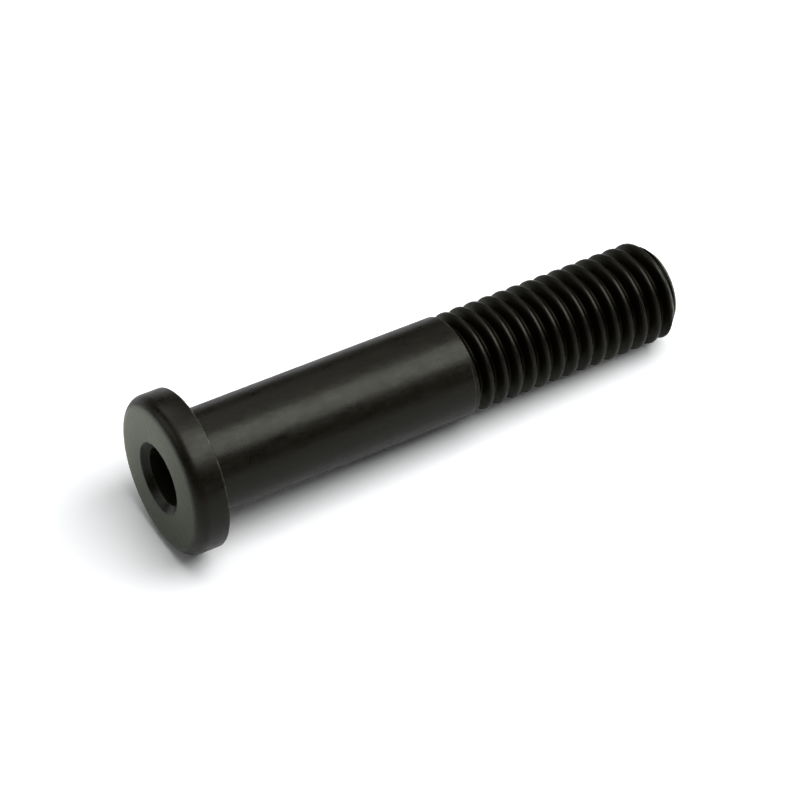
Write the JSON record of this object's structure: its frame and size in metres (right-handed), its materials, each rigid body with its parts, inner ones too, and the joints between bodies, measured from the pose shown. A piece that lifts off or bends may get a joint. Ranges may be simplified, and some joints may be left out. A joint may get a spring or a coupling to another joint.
{
  "type": "shoulder bolt",
  "caption": "Shoulder bolt with a low cylindrical head, a blind hexagon socket, a plain ground shoulder and a right-hand thread of nearly the same diameter.",
  "frame": {"origin": "centre of the head's outer face, which the bolt stands on", "axes": "+Z along the axis from the head to the thread; +Y through a corner of the hexagon socket"},
  "size_m": [0.0122, 0.0122, 0.0432],
  "materials": {
    "black_steel": "black oxide, satin"
  },
  "bodies": {
    "root": {"shoulder_bolt": "black_steel"}
  },
  "joints": []
}
